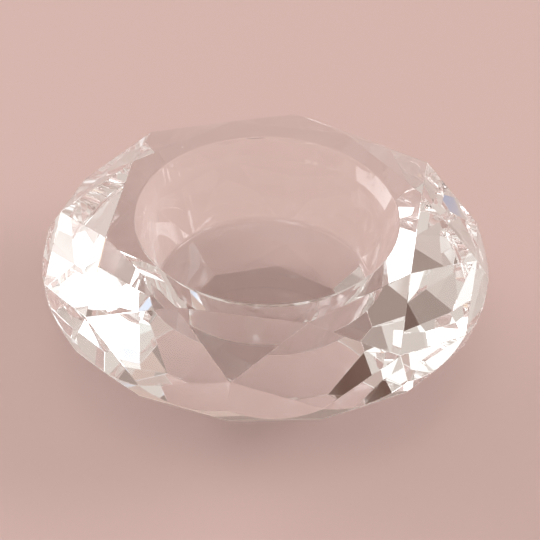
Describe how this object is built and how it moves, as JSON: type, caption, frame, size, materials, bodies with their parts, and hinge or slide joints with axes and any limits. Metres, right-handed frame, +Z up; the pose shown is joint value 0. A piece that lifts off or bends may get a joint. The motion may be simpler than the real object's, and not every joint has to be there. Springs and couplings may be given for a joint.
{
  "type": "crystal tealight holder",
  "caption": "Low, wide block of clear cut crystal with brilliant-style facets and an open round well in its flat top that holds a tealight.",
  "frame": {"origin": "centre of the flat base, on the surface the holder stands on", "axes": "+Z up along the well's axis; -Y through the middle of one side of the flat top"},
  "size_m": [0.08, 0.08, 0.0337],
  "materials": {
    "crystal": "polished clear optical glass"
  },
  "bodies": {
    "root": {"crystal_body": "crystal"}
  },
  "joints": []
}
